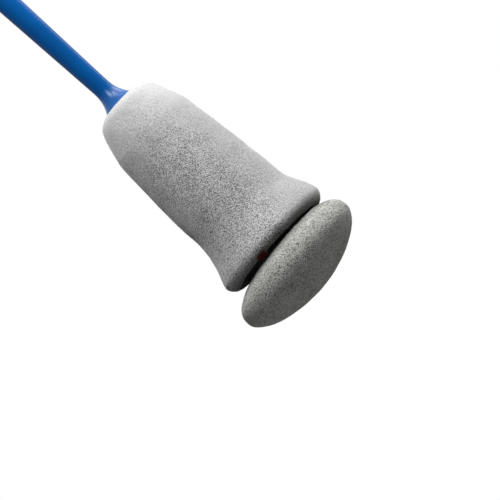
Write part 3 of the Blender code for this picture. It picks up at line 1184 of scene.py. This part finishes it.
@dataclass
class Handle:
    """One moulding: grip with a hanging eye, round shaft, trumpet, collar and keyed spigot.

    A plug closes its bore, and a rubber ring sits in the spigot's groove.
    """

    rim: float = RIM
    length: float = 0.178
    hang_wall: float = 0.0045
    eye_width: float = 0.008
    eye_height: float = 0.014
    eye_round: float = 0.0013
    cut_drop: float = 0.0095
    grip_width: float = 0.0184
    grip_thickness: float = 0.0108
    end_round: float = 0.014
    end_power: float = 2.4
    grip_start: float = 0.112
    shaft_end: float = 0.058
    shaft_radius: float = 0.0045
    neck_radius: float = 0.0037
    flare_height: float = 0.0102
    flare_power: float = 2.4
    collar_radius: float = 0.0069
    collar_thickness: float = 0.001
    collar_round: float = 0.0004
    spigot_radius: float = 0.0043
    spigot_bottom: float = 0.06665
    spigot_chamfer: float = 0.0006
    groove_floor: float = 0.0034
    groove_half: float = 0.0006
    groove_depth: float = 0.05465
    bore_radius: float = 0.0023
    bore_top: float = 0.095
    key_rise: float = 0.0009
    key_width: float = 0.0016
    key_length: float = 0.029
    key_round: float = 0.3 * MILLIMETRE
    ring_thickness: float = 0.0011
    ring_centre: float = 0.004
    nose_height: float = 0.0022
    nose_gap: float = 0.0003
    nose_steps: int = 12
    shank_radius: float = 0.002
    long_step: float = 3 * MILLIMETRE
    swell_step: float = 2 * MILLIMETRE
    flare_step: float = 0.35 * MILLIMETRE
    eye_rays: int = 96
    half_ring: int = 32
    rim_steps: int = 6
    face_steps: int = 16
    halvings: int = 40

    def __post_init__(self) -> None:
        """Works out the paddle's places."""
        self.pressed = self.grip_thickness / self.grip_width
        self.eye_middle = self.length - self.hang_wall - self.eye_height / 2
        self.cut_height = self.length - self.hang_wall - self.eye_height - self.cut_drop

    def half_width(self, height: float) -> float:
        """Half the handle's width at a height.

        Args:
            height: height above the rim.

        Returns:
            Half the width across the wide side.
        """
        grip = self.grip_width / 2
        start = self.length - self.end_round
        if height >= start:
            up = min((height - start) / self.end_round, 1.0)
            return grip * (1 - up**self.end_power) ** (1 / self.end_power)
        if height >= self.shaft_end:
            growth = ease(height, self.shaft_end, self.grip_start)
            return self.shaft_radius + growth * (grip - self.shaft_radius)
        if height >= self.flare_height:
            share = (height - self.flare_height) / (self.shaft_end - self.flare_height)
            return self.neck_radius + share * (self.shaft_radius - self.neck_radius)
        growth = (1 - max(height, 0.0) / self.flare_height) ** self.flare_power
        return self.neck_radius + (self.collar_radius - self.neck_radius) * growth

    def press(self, height: float) -> float:
        """Thickness over width at a height above the rim."""
        return 1 - ease(height, self.shaft_end, self.grip_start) * (1 - self.pressed)

    def face(self, x: float, height: float) -> float:
        """How far the grip's face stands from the middle plane."""
        half = self.half_width(height)
        return self.press(height) * math.sqrt(max(half * half - x * x, 0.0))

    def inside(self, x: float, height: float) -> bool:
        """Whether a point of the middle plane is in the paddle, above its cut."""
        return self.cut_height <= height < self.length and abs(x) < self.half_width(height)

    def eye_edge(self, ray: Vector) -> Vector:
        """Where a ray from the eye's middle meets the eye's wall.

        Args:
            ray: its direction in the middle plane, of length 1.

        Returns:
            The place, measured from the eye's middle.
        """
        radius = self.eye_width / 2
        rise = self.eye_height / 2 - radius
        if abs(ray.x) > MERGE_DISTANCE and abs(ray.y / ray.x) * radius <= rise:
            return ray * (radius / abs(ray.x))
        centre = math.copysign(rise, ray.y)
        along = ray.y * centre
        return ray * (along + math.sqrt(along * along - rise * rise + radius * radius))

    def outer_edge(self, ray: Vector) -> Vector:
        """Where a ray from the eye's middle leaves the paddle.

        Args:
            ray: its direction in the middle plane, of length 1.

        Returns:
            The place, measured from the eye's middle.
        """
        low, high = 0.0, self.length
        for _ in range(self.halvings):
            reach = (low + high) / 2
            point = ray * reach
            if self.inside(point.x, self.eye_middle + point.y):
                low = reach
            else:
                high = reach
        return ray * low

    def rays(self) -> list[tuple[Vector, Vector]]:
        """Lays rays out once round the eye.

        Returns:
            Each ray's ends, on the eye's wall and on the paddle's edge.
        """
        grip = self.grip_width / 2
        drop = self.cut_height - self.eye_middle
        found = []
        for step in range(self.half_ring + 1):
            turn = math.pi * step / self.half_ring
            outer = Vector((-grip * math.cos(turn), drop))
            found.append((self.eye_edge(outer.normalized()), outer))
        start = math.atan2(drop, grip)
        sweep = math.pi - 2 * start
        for step in range(1, self.eye_rays):
            angle = start + sweep * step / self.eye_rays
            ray = Vector((math.cos(angle), math.sin(angle)))
            found.append((self.eye_edge(ray), self.outer_edge(ray)))
        return found

    def ray_point(self, pair: tuple[Vector, Vector], station: int) -> Vector:
        """A point of the paddle's front on a ray.

        Args:
            pair: the ray's ends.
            station: 0 in the eye's middle plane, then over the rounded rim and the face.

        Returns:
            The point, with its height above the rim as z.
        """
        inner, outer = pair
        run = outer - inner
        way = run.normalized()
        if station == 0:
            return Vector((inner.x, 0.0, self.eye_middle + inner.y))
        if station <= self.rim_steps + 1:
            angle = math.pi / 2 * (station - 1) / self.rim_steps
            reach = self.eye_round * (1 - math.cos(angle))
            sunk = self.eye_round * (1 - math.sin(angle))
        else:
            share = math.sin(math.pi / 2 * (station - 1 - self.rim_steps) / self.face_steps)
            reach = self.eye_round + (run.length - self.eye_round) * share
            sunk = 0.0
        point = inner + way * reach
        height = self.eye_middle + point.y
        last = station == self.rim_steps + 1 + self.face_steps
        above_cut = self.eye_middle + outer.y > self.cut_height + MERGE_DISTANCE
        out = 0.0 if last and above_cut else self.face(point.x, height) - sunk
        return Vector((point.x, out, height))

    def paddle(self, shape: bmesh.types.BMesh) -> list[bmesh.types.BMEdge]:
        """Builds the grip's end round the eye.

        Args:
            shape: the mesh that it goes in.

        Returns:
            The open edges along the cut below the eye.
        """
        rays = self.rays()
        mark = shape.verts.layers.int.new("ray")
        ring = bmesh.ops.create_circle(shape, segments=len(rays), radius=1.0)["verts"]
        for index, vert in enumerate(ring):
            vert[mark] = index
            vert.co = self.ray_point(rays[index], 0)
        edges = list(shape.edges)
        for station in range(1, self.rim_steps + self.face_steps + 2):
            edges = grow(shape, edges, lambda v: self.ray_point(rays[v[mark]], station))
        bmesh.ops.mirror(
            shape,
            geom=shape.verts[:] + shape.edges[:] + shape.faces[:],
            axis="Y",
            merge_dist=-1.0,
        )
        bmesh.ops.remove_doubles(shape, verts=shape.verts, dist=2 * MERGE_DISTANCE)
        return [edge for edge in shape.edges if edge.is_boundary]

    def stations(self) -> list[tuple[float, float, float]]:
        """Lays out the sections below the paddle, down to the spigot and up its bore.

        Returns:
            Sections as (half width, thickness over width, height).
        """
        levels = (self.cut_height, self.grip_start, self.shaft_end, self.flare_height, 0.0)
        steps = (self.long_step, self.swell_step, self.long_step, self.flare_step)
        heights: Outline = []
        for high, low, step in zip(levels, levels[1:], steps):
            heights += straight([(high, 0), (low, 0)], step)[1:]
        found = [(self.half_width(h), self.press(h), h) for h, _ in heights]
        edge = self.collar_round
        under = -self.collar_thickness
        line = corner((self.collar_radius - edge, under + edge), edge, 0, -90, 5)
        line += corner((self.spigot_radius + edge / 2, under - edge / 2), edge / 2, 90, 180, 3)
        line += [
            (self.spigot_radius, self.groove_half - self.groove_depth),
            (self.groove_floor, self.groove_half - self.groove_depth),
            (self.groove_floor, -self.groove_half - self.groove_depth),
            (self.spigot_radius, -self.groove_half - self.groove_depth),
            (self.spigot_radius, self.spigot_chamfer - self.spigot_bottom),
            (self.spigot_radius - self.spigot_chamfer, -self.spigot_bottom),
            (self.bore_radius, -self.spigot_bottom),
            (self.bore_radius, self.bore_top),
        ]
        return found + [(radius, 1.0, height) for radius, height in line]

    def moulding(self) -> bpy.types.Object:
        """Builds the whole moulding, from the eye down to the spigot and up its bore.

        Returns:
            The piece.
        """
        shape = bmesh.new()
        edges = self.paddle(shape)
        turn = shape.verts.layers.float.new("turn")
        for vert in {vert for edge in edges for vert in edge.verts}:
            vert[turn] = math.atan2(vert.co.y / self.press(vert.co.z), vert.co.x)
        for half, press, height in self.stations():

            def section(vert: bmesh.types.BMVert) -> Vector:
                """The vertex's place on this section."""
                angle = vert[turn]
                return Vector((half * math.cos(angle), press * half * math.sin(angle), height))

            edges = grow(shape, edges, section)
        bmesh.ops.edgeloop_fill(shape, edges=edges)
        bmesh.ops.translate(shape, vec=(0.0, 0.0, self.rim), verts=shape.verts)
        bmesh.ops.recalc_face_normals(shape, faces=shape.faces)
        made = to_object(shape, "handle_moulding")
        top = -self.collar_thickness / 2
        bottom = -self.collar_thickness - self.key_length
        size = (2 * (self.spigot_radius + self.key_rise), self.key_width, top - bottom)
        centre = (0.0, 0.0, self.rim + (top + bottom) / 2)
        keys = to_object(rounded_box(size, centre, self.key_round), "key_tool")
        place = Matrix.Translation((0.0, 0.0, self.rim - self.key_length))
        hollow = round_tool("hollow_tool", self.bore_radius, 2 * self.key_length, place)
        combined(keys, hollow, Change.CUT)
        combined(made, keys, Change.JOIN)
        return dress(made, BLUE.material(), Slot.BLUE, Body.HANDLE, ["handle"])

    def nose(self) -> bpy.types.Object:
        """Builds the round plug that closes the rod's bore.

        Returns:
            The piece.
        """
        top = self.rim - self.spigot_bottom - self.nose_gap
        half = self.nose_height / 2
        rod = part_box("core_rod")[0].z - self.nose_gap
        shank = self.shank_radius
        across = self.spigot_radius - self.spigot_chamfer
        line = [(0.0, rod), (shank, rod), (shank, top), (across, top), (across, top - half)]
        for step in range(1, self.nose_steps + 1):
            angle = math.pi / 2 * step / self.nose_steps
            line.append((across * math.cos(angle), top - half - half * math.sin(angle)))
        made = to_object(spun(line, ROUND_STEPS, closed=False), "spigot_plug")
        return dress(made, ACETAL.material(), Slot.ACETAL, Body.HANDLE, ["spigot_nose"])

    def ring(self) -> bpy.types.Object:
        """Builds the rubber ring in the spigot's groove.

        Returns:
            The piece.
        """
        centre = (self.ring_centre, self.rim - self.groove_depth)
        line = corner(centre, self.ring_thickness / 2, 360, 0, 20)[:-1]
        made = to_object(spun(line, ROUND_STEPS, closed=True), "rubber_ring")
        return dress(made, RUBBER.material(), Slot.RUBBER, Body.HANDLE, ["retaining_ring"])

    def build(self) -> None:
        """Builds the handle's pieces."""
        self.moulding()
        self.nose()
        self.ring()
        dress_node("core_rod", STEEL.material())


def grow(
    shape: bmesh.types.BMesh,
    edges: Sequence[bmesh.types.BMEdge],
    place: Callable[[bmesh.types.BMVert], Vector],
) -> list[bmesh.types.BMEdge]:
    """Extrudes a loop of edges once.

    Args:
        shape: the mesh.
        edges: the loop.
        place: gives each new vertex's place.

    Returns:
        The new loop's edges.
    """
    grown = bmesh.ops.extrude_edge_only(shape, edges=edges)["geom"]
    verts = {item for item in grown if isinstance(item, bmesh.types.BMVert)}
    for vert in verts:
        vert.co = place(vert)
    loop = [item for item in grown if isinstance(item, bmesh.types.BMEdge)]
    return [edge for edge in loop if edge.verts[0] in verts and edge.verts[1] in verts]


@dataclass(frozen=True)
class Lamp:
    """A soft square light that faces the brush.

    Its place is given from the camera's side: right and up in the picture, and towards the camera.
    """

    name: str
    right: float
    up: float
    front: float
    distance: float
    side: float
    power: float


@dataclass
class Studio:
    """Camera, lights and a plain pale floor."""

    below: float = math.radians(6.5)
    roll: float = math.radians(48.0)
    distance: float = 1.8
    frame_width: float = 0.190
    sensor: float = 36.0
    near_share: float = 0.1
    far_share: float = 20.0
    aim_offset: tuple = (-0.00802, 0.00836, -0.0734)
    floor_drop: float = 0.35
    floor_side: float = 8.0
    ambient: float = 0.02
    lamps: tuple = (
        Lamp("key", -0.47, 0.6, 0.64, 0.8, 0.3, 4.7),
        Lamp("second", -0.3, 0.9, 0.3, 0.8, 0.2, 1.75),
        Lamp("top", 0.0, 1.0, 0.0, 0.8, 0.5, 2.6),
        Lamp("right", 0.3, 0.9, 0.3, 0.8, 0.5, 0.4),
        Lamp("far_left", -0.74, 0.67, -0.4, 0.8, 0.5, 4.5),
        Lamp("far_right", 0.3, 0.9, -0.4, 0.8, 0.5, 3.4),
        Lamp("left", -0.67, -0.74, 0.0, 0.8, 0.5, 0.6),
        Lamp("side", 0.93, 0.3, 0.2, 0.8, 0.5, 0.8),
        Lamp("low", 0.74, -0.67, 0.6, 0.3, 0.25, 0.14),
    )

    def __post_init__(self) -> None:
        """Works out the camera's axes in the brush's frame."""
        self.aim = Vector((0.0, 0.0, RIM)) + Vector(self.aim_offset)
        self.back = Vector((0.0, -math.cos(self.below), -math.sin(self.below)))
        level = Vector((0.0, -math.sin(self.below), math.cos(self.below)))
        side = level.cross(self.back)
        turn = Matrix.Rotation(-self.roll, 3, self.back)
        self.up = turn @ level
        self.right = turn @ side

    def camera(self) -> None:
        """Camera at the photograph's angle."""
        data = bpy.data.cameras.new("camera")
        data.sensor_width = self.sensor
        data.lens = self.sensor * self.distance / self.frame_width
        data.clip_start = self.distance * self.near_share
        data.clip_end = self.distance * self.far_share
        made = linked("camera", data)
        axes = Matrix((self.right, self.up, self.back)).transposed()
        made.matrix_world = Matrix.Translation(self.aim + self.back * self.distance) @ axes.to_4x4()
        bpy.context.scene.camera = made

    def light(self, lamp: Lamp) -> None:
        """Adds one lamp.

        Args:
            lamp: its size, place and power.
        """
        data = bpy.data.lights.new(lamp.name, "AREA")
        data.shape = "SQUARE"
        data.size = lamp.side
        data.energy = lamp.power
        made = linked(lamp.name, data)
        made.visible_camera = False
        way = self.right * lamp.right + self.up * lamp.up + self.back * lamp.front
        way.normalize()
        turn = way.to_track_quat("Z", "Y").to_matrix().to_4x4()
        made.matrix_world = Matrix.Translation(self.aim + way * lamp.distance) @ turn

    def seen(self, graph: Graph) -> Number:
        """Tells what is looked at from what only lights.

        Args:
            graph: the graph that it goes in.

        Returns:
            1 where the camera, gloss or clear plastic looks, 0 where light only bounces.
        """
        path = graph.add("ShaderNodeLightPath")
        seen = Number(graph, path.outputs["Is Camera Ray"])
        for ray in ("Is Glossy Ray", "Is Transmission Ray"):
            seen = graph.math("MAXIMUM", seen, Number(graph, path.outputs[ray]))
        return seen

    def world(self) -> None:
        """Even light from all round, which the camera and gloss see as white."""
        world = bpy.data.worlds.new("studio")
        bpy.context.scene.world = world
        graph = Graph(world)
        seen = self.seen(graph)
        graph.finish(Color=(1.0, 1.0, 1.0), Strength=self.ambient + (1 - self.ambient) * seen)

    def floor(self) -> None:
        """Plain pale floor well below the hanging brush."""
        shape = bmesh.new()
        bmesh.ops.create_grid(shape, x_segments=1, y_segments=1, size=self.floor_side / 2)
        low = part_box("sponge_tip")[0].z - self.floor_drop
        bmesh.ops.translate(shape, vec=(0.0, 0.0, low), verts=shape.verts)
        made = to_object(shape, "floor")
        graph = Graph.of_material("floor_paint")
        seen = self.seen(graph)
        pale, dim, glow = (0.8, 0.8, 0.8), (0.06, 0.06, 0.06), (0.48, 0.48, 0.48)
        paint = graph.finish(
            Base_Color=graph.mix(seen, dim, pale),
            Roughness=0.9,
            Emission_Color=graph.mix(seen, (0.0, 0.0, 0.0), glow),
            Emission_Strength=1.0,
        )
        made.data.materials.append(paint)

    def build(self) -> None:
        """Builds the whole stage."""
        self.camera()
        for lamp in self.lamps:
            self.light(lamp)
        self.world()
        self.floor()
        bpy.context.scene.view_settings.view_transform = "Standard"


def main() -> None:
    """Builds the brush's looks and its stage."""
    logging.basicConfig(level=logging.INFO, format="%(name)s %(message)s")
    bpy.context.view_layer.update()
    Studio().build()
    Handle().build()
    Head().build()
    Tip().build()


if __name__ == "__main__":
    main()
